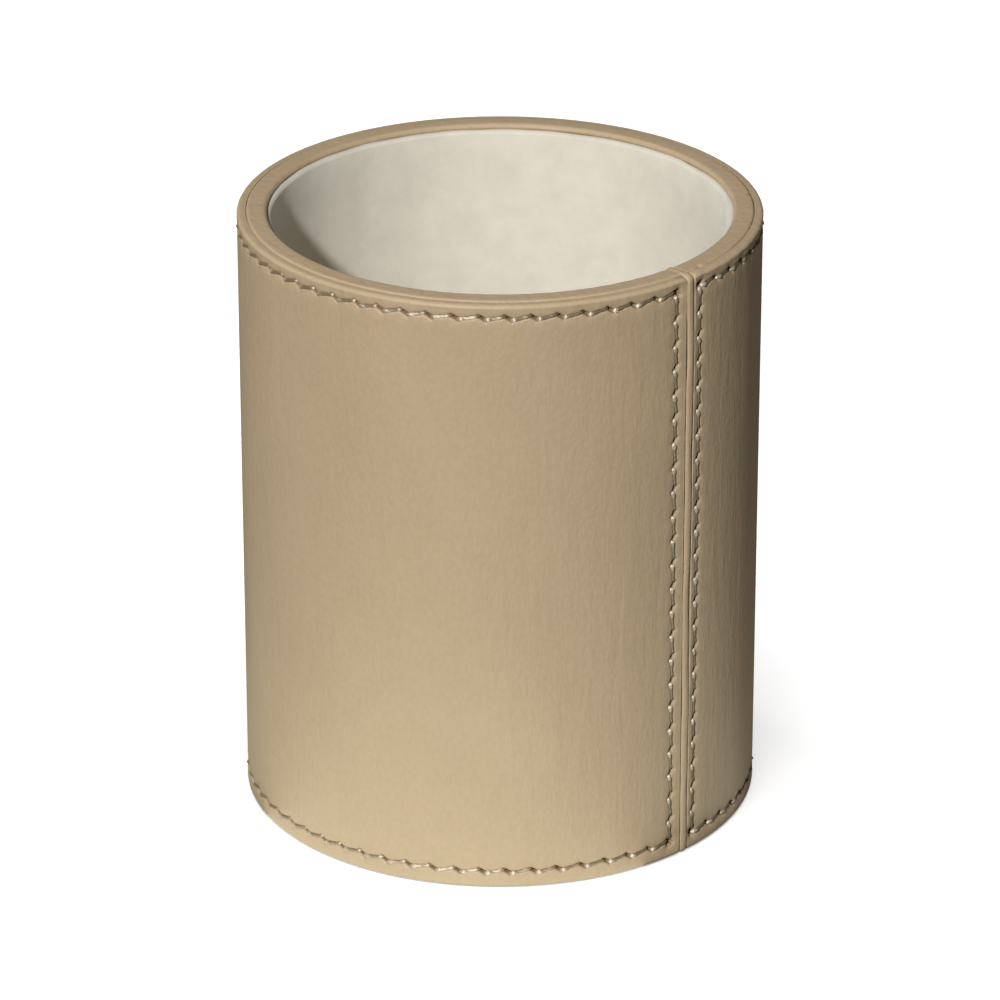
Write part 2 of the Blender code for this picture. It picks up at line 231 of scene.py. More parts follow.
def attribute(material, name):
    """The number that put_attribute stored under this name."""
    return node(material, "ShaderNodeAttribute", attribute_name=name).outputs["Fac"]


def node(material, kind, **values):
    """A node with its properties and, by name, its inputs set."""
    made = material.node_tree.nodes.new(kind)
    for key, value in values.items():
        if hasattr(made, key):
            setattr(made, key, value)
        else:
            made.inputs[key.replace("_", " ").title()].default_value = value
    return made


def join(material, *pairs):
    """Links each output to its input."""
    for output, target in pairs:
        material.node_tree.links.new(output, target)


def surface_place(material, stretch=(1, 1, 1)):
    """Object coordinates, stretched."""
    coordinates = node(material, "ShaderNodeTexCoord")
    mapping = node(material, "ShaderNodeMapping")
    mapping.inputs["Scale"].default_value = stretch
    join(material, (coordinates.outputs["Object"], mapping.inputs["Vector"]))
    return mapping.outputs["Vector"]


def noise(material, where, size, detail=3.0, roughness=0.55, distortion=0.0):
    """Cloudy noise whose blotches are about size metres across."""
    made = node(material, "ShaderNodeTexNoise", detail=detail, roughness=roughness, distortion=distortion)
    made.inputs["Scale"].default_value = 1 / size
    join(material, (where, made.inputs["Vector"]))
    return made.outputs["Fac"]


def cells(material, where, size, feature="SMOOTH_F1"):
    """Distance inside cells about size metres across."""
    made = node(material, "ShaderNodeTexVoronoi", feature=feature)
    made.inputs["Scale"].default_value = 1 / size
    if feature == "SMOOTH_F1":
        made.inputs["Smoothness"].default_value = 0.35
    join(material, (where, made.inputs["Vector"]))
    return made.outputs["Distance"]


def ramp(material, value, stops):
    """A colour ramp; stops are (place, colour)."""
    made = node(material, "ShaderNodeValToRGB")
    elements = made.color_ramp.elements
    while len(elements) < len(stops):
        elements.new(0.5)
    for element, (where, colour) in zip(elements, stops):
        element.position = where
        element.color = (*colour, 1)
    join(material, (value, made.inputs["Fac"]))
    return made.outputs["Color"]


def spread_value(material, value, low, high, at_low=0.0, at_high=1.0):
    """Maps low..high to at_low..at_high, and stops at both ends."""
    made = node(material, "ShaderNodeMapRange")
    for name, number in (("From Min", low), ("From Max", high), ("To Min", at_low), ("To Max", at_high)):
        made.inputs[name].default_value = number
    join(material, (value, made.inputs["Value"]))
    return made.outputs["Result"]


def multiply(material, value, factor):
    """A socket's value times a plain number."""
    made = node(material, "ShaderNodeMath", operation="MULTIPLY")
    made.inputs[1].default_value = factor
    join(material, (value, made.inputs[0]))
    return made.outputs["Value"]


def tint(material, blend_type, amount, a, b):
    """Mixes colour b into colour a; amount is a number or a socket, and b may be a plain colour."""
    made = node(material, "ShaderNodeMix", data_type="RGBA", blend_type=blend_type)
    colours = [socket for socket in made.inputs if socket.type == "RGBA"]
    for value, socket in zip((amount, a, b), (made.inputs["Factor"], *colours)):
        if isinstance(value, (int, float)):
            socket.default_value = value
        elif isinstance(value, tuple):
            socket.default_value = (*value, 1)
        else:
            join(material, (value, socket))
    return [out for out in made.outputs if out.type == "RGBA"][0]


def bump(material, heights):
    """Stacks bumps; heights are (socket, depth in metres), and the last one drives the shader."""
    shader = material.node_tree.nodes["Principled BSDF"]
    last = None
    for height, depth in heights:
        made = node(material, "ShaderNodeBump")
        made.inputs["Distance"].default_value = depth
        made.inputs["Strength"].default_value = 1.0
        join(material, (height, made.inputs["Height"]))
        if last:
            join(material, (last, made.inputs["Normal"]))
        last = made.outputs["Normal"]
    join(material, (last, shader.inputs["Normal"]))


def drive(material, **sockets):
    """Links sockets to the shader's inputs: base_color, roughness."""
    shader = material.node_tree.nodes["Principled BSDF"]
    for name, output in sockets.items():
        join(material, (output, shader.inputs[name.replace("_", " ").title()]))


# ---------------------------------------------------------------- materials

# Linear colours. The grain, fleck, painted-shade and speck colours are multiplied in.
LEATHER_COLOUR = (0.470, 0.355, 0.2225)
GRAIN_COLOUR = (1.0, 0.96, 0.92)
SUEDE_COLOUR = (0.785, 0.735, 0.625)
SUEDE_FLECK_COLOUR = (0.86, 0.84, 0.8)
# Dark brown where the thread lies in its groove: partly its own colour, partly painted shade.
THREAD_COLOUR = (0.27, 0.20, 0.12)
# Painted highlight on the thread's knots, where it stands out of the leather.
PAINTED_THREAD_HIGHLIGHT_COLOUR = (0.54, 0.475, 0.36)
FLECK_COLOUR = (0.8, 0.76, 0.7)
# Painted shade, multiplied into the leather in the needle slits and the thread's grooves.
PAINTED_SHADE_COLOUR = (0.50, 0.41, 0.30)
BOARD_COLOUR = (0.42, 0.38, 0.32)
BOARD_SPECK_COLOUR = (0.5, 0.46, 0.4)


def shade(colour, factor):
    """A colour made lighter or darker."""
    return tuple(c * factor for c in colour)


def leather_material():
    """Semi-matte corrected-grain leather: fine pebbles, soft mottling, paler at worn edges, and painted shade
    in the needle slits and the thread's grooves."""
    colour = LEATHER_COLOUR
    material = new_material("leather_beige", colour, 0.5, specular=0.38)
    where = surface_place(material, (1, 1, 0.7))
    blotches = noise(material, where, 14 * MM, detail=4)
    grain = cells(material, where, 0.75 * MM)
    pores = noise(material, where, 0.35 * MM, detail=5, roughness=0.65)
    cloud = ramp(material, blotches, [(0.3, shade(colour, 0.965)), (0.7, shade(colour, 1.03))])
    grained = tint(material, "MULTIPLY", spread_value(material, grain, 0.35, 0.75, at_high=0.22), cloud,
                   shade(GRAIN_COLOUR, 0.86))
    speckled = tint(material, "MULTIPLY", spread_value(material, pores, 0.62, 0.78, at_high=0.4), grained,
                    FLECK_COLOUR)
    rubbed = tint(material, "MIX", multiply(material, attribute(material, "wear"), 0.22), speckled,
                  shade(colour, 1.18))
    # Painted shade: darker in the needle slits and grooves, by the soil attribute.
    final = tint(material, "MULTIPLY", attribute(material, "soil"), rubbed, PAINTED_SHADE_COLOUR)
    gloss = spread_value(material, pores, 0.3, 0.7, at_low=0.42, at_high=0.58)
    drive(material, base_color=final, roughness=gloss)
    creases = noise(material, surface_place(material, (1, 1, 0.17)), 1.7 * MM, detail=3, distortion=0.3)
    bump(material, [(creases, 0.15 * MM), (grain, -0.035 * MM), (pores, 0.035 * MM)])
    return material


def suede_material():
    """Matte napped cloth: fine fibre grain, faint mottling where the nap lies differently."""
    material = new_material("suede_off_white", SUEDE_COLOUR, 0.95, specular=0.15)
    where = surface_place(material)
    nap = noise(material, where, 5 * MM, detail=5, roughness=0.6)
    fibres = noise(material, where, 0.25 * MM, detail=4, roughness=0.7)
    base = ramp(material, nap, [(0.32, shade(SUEDE_COLOUR, 0.94)), (0.68, shade(SUEDE_COLOUR, 1.04))])
    flecked = tint(material, "MULTIPLY", spread_value(material, fibres, 0.55, 0.75, at_high=0.35), base,
                   SUEDE_FLECK_COLOUR)
    drive(material, base_color=flecked)
    shader = material.node_tree.nodes["Principled BSDF"]
    shader.inputs["Sheen Weight"].default_value = 0.25
    shader.inputs["Sheen Roughness"].default_value = 0.5
    bump(material, [(nap, 0.05 * MM), (fibres, 0.05 * MM)])
    return material


def thread_material():
    """Waxed sewing thread: its fibres run lengthways, so it shines only where it faces the light squarely.
    It is painted dark brown where it lies sunk in the groove, partly its own colour and partly painted shade,
    and paler on the knots where it stands out, a painted highlight."""
    material = new_material("thread_cream", THREAD_COLOUR, 0.56, specular=1.0)
    shader = material.node_tree.nodes["Principled BSDF"]
    shader.inputs["IOR"].default_value = 2.5
    shader.inputs["Specular Tint"].default_value = (1.0, 0.9, 0.72, 1)
    shader.inputs["Anisotropic"].default_value = 0.9
    shader.inputs["Anisotropic Rotation"].default_value = 0.25
    direction = node(material, "ShaderNodeAttribute", attribute_name="fibre_direction").outputs["Vector"]
    join(material, (direction, shader.inputs["Tangent"]))
    where = surface_place(material)
    fibres = noise(material, where, 0.09 * MM, detail=3)
    slubs = noise(material, where, 2.5 * MM, detail=2)
    base = ramp(material, slubs, [(0.3, shade(THREAD_COLOUR, 0.9)), (0.7, shade(THREAD_COLOUR, 1.06))])
    # Painted highlight: towards a paler colour on the knots that stand out; elsewhere the dark brown holds
    # painted shade.
    proud = spread_value(material, attribute(material, "proud"), 0.15, 0.9)
    base = tint(material, "MIX", proud, base, PAINTED_THREAD_HIGHLIGHT_COLOUR)
    dust = spread_value(material, fibres, 0.5, 0.7, at_high=0.3)
    drive(material, base_color=tint(material, "MULTIPLY", dust, base, FLECK_COLOUR))
    bump(material, [(fibres, 0.02 * MM)])
    return material


def board_material():
    """Grey-brown board: pressed pulp with darker and lighter fibres."""
    material = new_material("grey_board", BOARD_COLOUR, 0.9, specular=0.2)
    where = surface_place(material)
    pulp = noise(material, where, 1.2 * MM, detail=6, roughness=0.7)
    specks = cells(material, where, 1.6 * MM, feature="F1")
    base = ramp(material, pulp, [(0.35, shade(BOARD_COLOUR, 0.85)), (0.65, shade(BOARD_COLOUR, 1.12))])
    dark = spread_value(material, specks, 0.0, 0.12, at_low=0.6, at_high=0.0)
    drive(material, base_color=tint(material, "MULTIPLY", dark, base, BOARD_SPECK_COLOUR))
    bump(material, [(pulp, 0.06 * MM)])
    return material


# ---------------------------------------------------------------- the stitch rows

class Row:
    """One straight row of stitches on the flat panel, seen from outside: holes along it, and each stitch
    from the low end of one needle slit to the high end of the next."""

    SLIT_HALF = 0.46 * MM      # half the needle slit's length along the row
    SLIT_RISE = 0.27 * MM      # half its height across the row
    SLIT_DEPTH = 0.78 * MM
    SLIT_WIDTH = 0.30 * MM
    GROOVE_DEPTH = 0.36 * MM
    GROOVE_WIDTH = 0.25 * MM
    DIMPLE_DEPTH = 0.13 * MM
    DIMPLE_WIDTH = 1.1 * MM
    PUCKER_HEIGHT = 0.035 * MM
    PUCKER_WIDTH = 1.6 * MM
    OVERRUN = 1.5 * MM         # how far the marks run on past the row's two ends
    HOLE_JITTER = 0.12         # mm, along the row
    RISE_JITTER = 0.06         # mm, across it
    THREAD_BOW = 0.05 * MM
    # The thread's path in one stitch: share of the stitch's length, depth in mm, and whether the depth there
    # grows with the stitch's sink.
    PATH = ((-0.12, -1.3, False), (-0.04, -0.85, False), (0.02, -0.46, False), (0.08, -0.28, False),
            (0.17, -0.22, False), (0.32, -0.28, False), (0.55, -0.34, True), (0.80, -0.38, True),
            (0.92, -0.50, False), (1.0, -0.74, False), (1.08, -1.3, False))

    def __init__(self, start, along, across, length):
        self.start, self.along, self.across = np.array(start), np.array(along), np.array(across)
        self.length = length
        self.count = round(length / STITCH_PITCH)
        self.holes = np.linspace(0, length, self.count + 1)
        self.holes[1:-1] += rng.uniform(-self.HOLE_JITTER, self.HOLE_JITTER, self.count - 1) * MM
        self.rise = self.SLIT_RISE + rng.uniform(-self.RISE_JITTER, self.RISE_JITTER, self.count) * MM
        self.sink = rng.uniform(0.85, 1.15, self.count)
        self.blob = rng.uniform(0.8, 1.25, self.count)

    def flat(self, s, t):
        """Pattern x and z of a place s along the row and t across it; x runs left as seen from outside."""
        seen = self.start + np.outer(s, self.along) + np.outer(t, self.across)
        return -seen[:, 0], seen[:, 1]

    def local(self, x, z):
        """The other way round: s and t of places on the pattern."""
        seen = np.stack([-x, z], axis=1) - self.start
        return seen @ self.along, seen @ self.across

    def ends(self, k):
        """Where stitch k comes out of the leather and where it goes in again, each as (s, t)."""
        return ((self.holes[k] + self.SLIT_HALF, -self.rise[k]),
                (self.holes[k + 1] - self.SLIT_HALF, self.rise[k]))

    def depth(self, x, z):
        """How far the row pulls the leather in at each place, and how much painted shade its slits and groove
        put there.
        """
        s, t = self.local(x, z)
        k = np.clip(np.searchsorted(self.holes, s) - 1, 0, self.count - 1)
        on_row = (s > -self.OVERRUN) & (s < self.length + self.OVERRUN)
        rise = self.rise[k]
        start_s, end_s = self.holes[k] + self.SLIT_HALF, self.holes[k + 1] - self.SLIT_HALF
        v = np.clip((s - start_s) / (end_s - start_s), 0, 1)
        away = np.hypot(s - (start_s + v * (end_s - start_s)), t - (2 * v - 1) * rise)
        deep = self.GROOVE_DEPTH * self.sink[k] * (0.45 + 0.55 * smooth(v / 0.45))
        groove = deep / (1 + (away / self.GROOVE_WIDTH) ** 4)
        slits = np.zeros_like(s)
        for hole in (self.holes[k], self.holes[k + 1]):
            w = np.clip((s - hole + self.SLIT_HALF) / (2 * self.SLIT_HALF), 0, 1)
            off = np.hypot(s - hole - (2 * w - 1) * self.SLIT_HALF, t + (2 * w - 1) * self.SLIT_RISE)
            slits = np.maximum(slits, self.SLIT_DEPTH / (1 + (off / self.SLIT_WIDTH) ** 4))
        beside = np.clip(np.maximum(-s, s - self.length), 0, None)
        dimple = self.DIMPLE_DEPTH * np.exp(-(np.hypot(t, beside) / self.DIMPLE_WIDTH) ** 2)
        pucker = self.PUCKER_HEIGHT * np.cos(2 * math.pi * v) * np.exp(-(t / self.PUCKER_WIDTH) ** 2)
        # Painted shade: darkest in the needle slits, a little in the grooves.
        slit_shade = np.maximum(1.5 * slits / self.SLIT_DEPTH, 0.12 * groove / self.GROOVE_DEPTH)
        return np.maximum(groove, slits) * on_row + dimple + pucker * on_row, slit_shade * on_row

    def thread(self):
        """The needle thread along the row, a few points for each stitch: pattern x, y, z, radius, and how
        much painted highlight it gets on the knot where it stands out of the leather."""
        xs, ys, zs, radii, proud = [], [], [], [], []
        for k in range(self.count):
            (s0, t0), (s1, t1) = self.ends(k)
            for v, y, sinks in self.PATH:
                w = min(max(v, 0), 1)
                bow = self.THREAD_BOW * math.sin(math.pi * w)
                x, z = self.flat([s0 + v * (s1 - s0)], [t0 + w * (t1 - t0) - bow])
                xs.append(x[0])
                ys.append(y * (self.sink[k] if sinks else 1) * MM)
                zs.append(z[0])
                knot = math.exp(-((v - 0.14) / 0.16) ** 2)
                radii.append(THREAD_RADIUS * (0.84 + 0.42 * self.blob[k] * knot))
                # painted highlight on the knot where the thread comes out of the slit
                proud.append(self.blob[k] * math.exp(-((v - 0.12) / 0.10) ** 2))
        return np.array([xs, ys, zs, radii, proud]).T


def smooth(value):
    """0 to 1 with a soft start and end; stops outside that range."""
    clipped = np.clip(value, 0, 1)
    return clipped * clipped * (3 - 2 * clipped)


def make_rows():
    """The four rows round the panel's edge, as seen from outside: two along its top and bottom, and two
    beside the seam."""
    left, right = -(HALF_TURN - RIGHT_ROW_FROM_SEAM), HALF_TURN - LEFT_ROW_FROM_SEAM
    top, bottom = TOP_ROW_HEIGHT, BOTTOM_ROW_HEIGHT
    width, height = right - left, top - bottom
    return {
        "top": Row((left, top), (1, 0), (0, 1), width),
        "beside_seam_left": Row((right, top), (0, -1), (1, 0), height),
        "bottom": Row((left, bottom), (1, 0), (0, 1), width),
        "beside_seam_right": Row((left, top), (0, -1), (1, 0), height),
    }


# ---------------------------------------------------------------- the leather panel

# Finer meshing near the stitch rows: an edge's wanted length, and how far from the row that holds.
FINE_BANDS = ((1.0 * MM, 3.2 * MM), (0.5 * MM, 2.2 * MM), (0.25 * MM, 1.35 * MM), (0.14 * MM, 0.62 * MM))
BASE_STEP = 2.0 * MM
LONG_EDGE = 1.45            # times the wanted length, above which an edge is split
EDGE_CREASE = 0.10 * MM     # depth of the crease that the folding bone presses beside the edge
CREASE_FROM_EDGE = 0.85 * MM
CREASE_WIDTH = 0.17 * MM
SLACK = 0.075 * MM          # how far the middle of the panel lies inside its stitched border


def edge_lines(low, high, rounded):
    """Grid lines from low to high: close together over the rounded edges, even between them."""
    rounding = rounded * (1 - np.cos(np.linspace(0, math.pi / 2, 8)))
    inner = np.linspace(low + rounded, high - rounded, math.ceil((high - low) / BASE_STEP) + 1)[1:-1]
    return np.concatenate([low + rounding, inner, (high - rounding)[::-1]])


def round_corner(x, z):
    """Distance from the panel's edge, and the place moved so that the panel's corners are round."""
    middle = (PANEL_BOTTOM + PANEL_TOP) / 2
    qx = CORNER_ROUND - (PANEL_END - np.abs(x)) * EDGE_ROUND / SEAM_ROUND
    qz = np.abs(z - middle) - ((PANEL_TOP - PANEL_BOTTOM) / 2 - CORNER_ROUND)
    corner = (qx > 0) & (qz > 0)
    length = np.hypot(qx, qz)
    pull = np.where(corner, np.maximum(qx, qz) / np.where(corner, length, 1), 1)
    round_x = PANEL_END - (CORNER_ROUND - qx * pull) * SEAM_ROUND / EDGE_ROUND
    round_z = PANEL_TOP - middle - CORNER_ROUND + qz * pull
    new_x = np.where(corner, np.sign(x) * round_x, x)
    new_z = np.where(corner, middle + np.sign(z - middle) * round_z, z)
    return CORNER_ROUND - np.maximum(qx, qz), new_x, new_z


def refine(bm, rows):
    """Splits the front's edges near the stitch rows, in steps, down to a fraction of a millimetre."""
    for target, band in FINE_BANDS:
        ends = np.array([[(*e.verts[0].co, *e.verts[1].co)] for e in bm.edges]).reshape(-1, 6)
        middle_x, middle_z = (ends[:, 0] + ends[:, 3]) / 2, (ends[:, 2] + ends[:, 5]) / 2
        length = np.hypot(ends[:, 0] - ends[:, 3], ends[:, 2] - ends[:, 5])
        near = np.zeros(len(ends), bool)
        for row in rows.values():
            s, t = row.local(middle_x, middle_z)
            beside = np.clip(np.maximum(-s, s - row.length), 0, None)
            near |= np.hypot(t, beside) < band
        chosen = near & (length > LONG_EDGE * target)
        long_edges = [edge for edge, pick in zip(bm.edges, chosen) if pick and not edge.is_boundary]
        bmesh.ops.subdivide_edges(bm, edges=long_edges, cuts=1, use_grid_fill=True)


def panel_relief(x, z, edge_distance, rows):
    """The front surface's height, and how much painted shade each place gets from the needle slits and
    grooves.
    """
    inside = np.clip(edge_distance, 0, EDGE_ROUND)
    height = -(EDGE_ROUND - np.sqrt(np.clip(EDGE_ROUND ** 2 - (EDGE_ROUND - inside) ** 2, 0, None)))
    soil = np.zeros_like(x)
    for row in rows.values():
        depth, slit = row.depth(x, z)
        height -= depth
        soil = np.maximum(soil, slit)
    turn = x / OUTER_RADIUS
    crease = EDGE_CREASE * np.exp(-((edge_distance - CREASE_FROM_EDGE) / CREASE_WIDTH) ** 2)
    height -= crease * (0.6 + 0.4 * np.sin(9 * turn + 1.0) * np.sin(23 * turn))
    sway = ripple(turn, 0.045 * MM, (3, 5, 8, 13), seed=3) * np.cos(z * 45)
    sway = sway + ripple(turn, 0.03 * MM, (11, 19, 27), seed=4)
    height += (sway - SLACK) * smooth(edge_distance / (6 * MM))
    return height, soil


def make_outer_wrap(material, rows):
    """The panel: a finely meshed front with its stitch marks, turned edges, and a plain back with the hem's
    step."""
    x_lines = edge_lines(-PANEL_END, PANEL_END, SEAM_ROUND)
    z_lines = edge_lines(PANEL_BOTTOM, PANEL_TOP, EDGE_ROUND)
    columns, rungs = len(x_lines), len(z_lines)
    grid = np.stack(np.meshgrid(x_lines, z_lines, indexing="ij"), axis=2).reshape(-1, 2)
    bm = bmesh.new()
    front = [bm.verts.new((x, 0, z)) for x, z in grid]
    for quad in grid_faces(columns, rungs):
        bm.faces.new([front[i] for i in quad])
    refine(bm, rows)
    flat = np.array([v.co for v in bm.verts])
    number = {(round(x, 6), round(z, 6)): i for i, (x, z) in enumerate(grid)}
    border_pairs = [tuple(e.verts) for e in bm.edges if e.is_boundary]
    distance, x, z = round_corner(flat[:, 0], flat[:, 2])
    height, soil = panel_relief(x, z, distance, rows)
    wear = np.exp(-((distance - 0.45 * MM) / (0.5 * MM)) ** 2)
    front_count = len(bm.verts)

    back_distance, back_x, back_z = round_corner(grid[:, 0], grid[:, 1])
    back_y = np.where(back_distance < HEM_WIDTH, -HEM_THICKNESS, -PANEL_LEATHER)
    back_y = np.where(back_distance < PRESSED_EDGE, -EDGE_THICKNESS, back_y)
    back = [bm.verts.new((0, 0, 0)) for _ in grid]
    for quad in grid_faces(columns, rungs):
        bm.faces.new([back[i] for i in reversed(quad)])
    for a, b in border_pairs:
        behind_a, behind_b = (back[number[(round(v.co.x, 6), round(v.co.z, 6))]] for v in (a, b))
        bm.faces.new([a, b, behind_b, behind_a])

    points = np.vstack([np.stack([x, height, z], axis=1), np.stack([back_x, back_y, back_z], axis=1)])
    for vert, place_at in zip(bm.verts, rolled(points)):
        vert.co = place_at
    mesh = bpy.data.meshes.new("outer_wrap_leather")
    bm.to_mesh(mesh)
    bm.free()
    obj = bpy.data.objects.new("outer_wrap_leather", mesh)
    bpy.context.scene.collection.objects.link(obj)
    unseen = np.zeros(len(points) - front_count)
    put_attribute(obj, "wear", np.concatenate([wear, unseen]))
    # painted shade in the needle slits and the thread's grooves
    put_attribute(obj, "soil", np.concatenate([smooth(soil * 1.2 - 0.1), unseen]))
    finish_mesh(obj, material)
    place(obj, "outer_wrap")


# ---------------------------------------------------------------- the needle thread

THREAD_STEP = 0.13 * MM
THREAD_SIDES = 12
THREAD_TWIST = 1.1 * MM     # length of one turn of the plies
PLIES = 3
PLY_RELIEF = 0.13           # how far they stand out, as a share of the radius


def even_steps(points, step):
    """The closed line through the points, smoothed and cut into even steps."""
    closed = np.vstack([points, points[:1]])
    gaps = np.linalg.norm(np.diff(closed[:, :3], axis=0), axis=1)
    run = np.concatenate([[0], np.cumsum(gaps)])
    count = round(run[-1] / step)
    at = np.linspace(0, run[-1], count, endpoint=False)
    line = np.stack([np.interp(at, run, closed[:, i]) for i in range(closed.shape[1])], axis=1)
    for _ in range(2):
        line = (np.roll(line, 1, axis=0) + 2 * line + np.roll(line, -1, axis=0)) / 4
    return line


def make_needle_thread(material, rows):
    """One loop round the panel: twisted plies, sunk into the leather between its slits."""
    top, down = rows["top"].thread(), rows["beside_seam_left"].thread()
    bottom, up = rows["bottom"].thread()[::-1], rows["beside_seam_right"].thread()[::-1]
    line = even_steps(np.vstack([top, down, bottom, up]), THREAD_STEP)
    centre = rolled(line[:, :3])
    outward = centre * np.array([1, 1, 0])
    outward /= np.linalg.norm(outward, axis=1)[:, None]
    forward = np.roll(centre, -1, axis=0) - np.roll(centre, 1, axis=0)
    forward /= np.linalg.norm(forward, axis=1)[:, None]
    side = np.cross(forward, outward)
    side /= np.linalg.norm(side, axis=1)[:, None]
    normal = np.cross(side, forward)
    theta = np.linspace(0, 2 * math.pi, THREAD_SIDES, endpoint=False)
    turns = round(len(line) * THREAD_STEP / THREAD_TWIST)
    twist = np.linspace(0, 2 * math.pi * turns, len(line), endpoint=False)
    radius = line[:, 3:4] * (1 + PLY_RELIEF * np.cos(PLIES * theta[None, :] - twist[:, None]))
    points = (centre[:, None, :] + radius[:, :, None] * (
        np.cos(theta)[None, :, None] * normal[:, None, :] + np.sin(theta)[None, :, None] * side[:, None, :]))
    faces = grid_faces(len(line), THREAD_SIDES, closed_rows=True, closed_columns=True)
    obj = mesh_object("needle_thread_twisted", points.reshape(-1, 3), faces, material, sharp_angle=80)
    direction = obj.data.attributes.new("fibre_direction", "FLOAT_VECTOR", "POINT")
    direction.data.foreach_set("vector", np.repeat(forward, THREAD_SIDES, axis=0).astype(np.float32).ravel())
    # where the material paints a highlight on the thread's knots
    put_attribute(obj, "proud", np.repeat(line[:, 4], THREAD_SIDES))
    place(obj, "needle_thread")


# ---------------------------------------------------------------- the welt in the seam

FLANGE_LOW, FLANGE_HIGH = 8.3 * MM, 91.7 * MM      # the flange lies between the panel's turned edges
FLANGE_TAPER = 3 * MM       # height over which it comes to its full width
FLANGE_LEAST = 0.06 * MM    # above and below it the bead's foot is this much wider than the bead
SHOULDER = 0.02 * MM        # step between the bead's crown and its foot
SIDE_STEPS, RIM_STEPS = 130, 8


def make_seam_welt(material):
    """The welt: a bead of folded leather that stands in the seam and over the rim, with its flange behind
    the panel."""
    flange_half = WELT_HIGH.x
    base_radius = SKIN_RADIUS - SKIN_LEATHER
    strip_low = RIM_TOP - SKIN_LEATHER
    inner_outer = RIM_INNER_RADIUS + SKIN_LEATHER
    corner, inner_corner = 1.25 * MM, 0.35 * MM
    stations = []     # from the foot up and over the rim: the bead's crown and its base, as (radius, height)
    for r, z in arc((BEAD_RADIUS - EDGE_ROUND, PANEL_BOTTOM + EDGE_ROUND), EDGE_ROUND, -90, 0, 6)[:-1]:
        stations.append(((r, z), (base_radius, z)))
    for z in np.linspace(PANEL_BOTTOM + EDGE_ROUND, RIM_TOP - corner, SIDE_STEPS):
        stations.append(((BEAD_RADIUS, z), (base_radius, z)))
    over = arc((BEAD_RADIUS - corner, RIM_TOP - corner), corner, 0, 90, RIM_STEPS)
    for step, (r, z) in enumerate(over[1:], 1):
        climb = (corner - SKIN_LEATHER) * (step / RIM_STEPS)
        stations.append(((r, z), (base_radius, RIM_TOP - corner + climb)))
    mouth = RIM_INNER_RADIUS - RIM_SWELL
    for r in np.linspace(BEAD_RADIUS - corner, mouth + inner_corner, 8)[1:]:
        stations.append(((r, RIM_TOP), (min(r, base_radius - 0.02 * MM), strip_low)))
    for r, z in arc((mouth + inner_corner, RIM_TOP - inner_corner), inner_corner, 90, 180, 5)[1:]:
        stations.append(((r, z), (inner_outer, strip_low)))
    down = [np.linspace(strip_low - 0.1 * MM, SWELL_LOW, 6), np.linspace(SWELL_LOW, RIM_BOTTOM, 8)[1:]]
    for z in np.concatenate(down):
        swell = RIM_SWELL * smooth((z - SWELL_LOW) / (SWELL_HIGH - SWELL_LOW))
        stations.append(((RIM_INNER_RADIUS - swell, z), (inner_outer, z)))

    crown_angles = np.linspace(0, math.pi, 9)
    section = len(crown_angles) + 6     # the crown, and three corners on each side of it
    points = []
    travelled, last = 0.0, stations[0][0]
    for crown, base in stations:
        travelled += math.hypot(crown[0] - last[0], crown[1] - last[1])
        last = crown
        sway = (0.10 * math.sin(travelled * 95 + 0.4) + 0.10 * math.sin(travelled * 210 + 2.0)
                + 0.05 * math.sin(travelled * 520)) * MM
        lean = 0.12 * MM * smooth((travelled - 92 * MM) / (6 * MM))
        slow, quick = 0.07 * math.sin(travelled * 330 + 1.0), 0.04 * math.sin(travelled * 870)
        width = BEAD_HALF_WIDTH * (1 + slow + quick)
        outside = base[1] == crown[1] and crown[0] == BEAD_RADIUS
        wing = min(max(crown[1] - FLANGE_LOW, 0), max(FLANGE_HIGH - crown[1], 0)) if outside else 0
        reach = flange_half - BEAD_HALF_WIDTH - FLANGE_LEAST
        wing_half = BEAD_HALF_WIDTH + FLANGE_LEAST + reach * min(wing / FLANGE_TAPER, 1)
        rise = np.array([crown[0] - base[0], crown[1] - base[1]])
        tall = np.linalg.norm(rise)
        rise /= tall
        step_up = min(SKIN_LEATHER, 0.35 * tall)
        crown_height = min(0.40 * MM, 0.5 * tall)
        outline = [(-wing_half, 0), (-wing_half, step_up), (-width - SHOULDER, step_up)]
        for a in crown_angles:
            outline.append((-width * math.cos(a) + sway - lean,
                            tall - crown_height + crown_height * math.sin(a) ** 0.8))
        outline += [(width + SHOULDER, step_up), (wing_half, step_up), (wing_half, 0)]
        for across, up in outline:
            r, z = base[0] + rise[0] * up, base[1] + rise[1] * up
            turn = math.pi - across / OUTER_RADIUS
            points.append((r * math.sin(turn), r * math.cos(turn), z))
    faces = grid_faces(len(stations), section, closed_columns=True)
    faces.append(tuple(range(section)))
    faces.append(tuple(range(len(points) - 1, len(points) - 1 - section, -1)))
    obj = mesh_object("seam_welt_bead", points, faces, material)
    count = len(points)
    put_attribute(obj, "wear", np.full(count, 1.5))
    put_attribute(obj, "soil", np.zeros(count))
    place(obj, "seam_welt")


# ---------------------------------------------------------------- rim, lining and base

# Small dents in the rim's outer edge: how far left of the seam, and how deep.
RIM_NICKS = ((37.0 * MM, 0.35 * MM), (3.6 * MM, 0.4 * MM), (-21.0 * MM, 0.2 * MM), (96.0 * MM, 0.25 * MM))


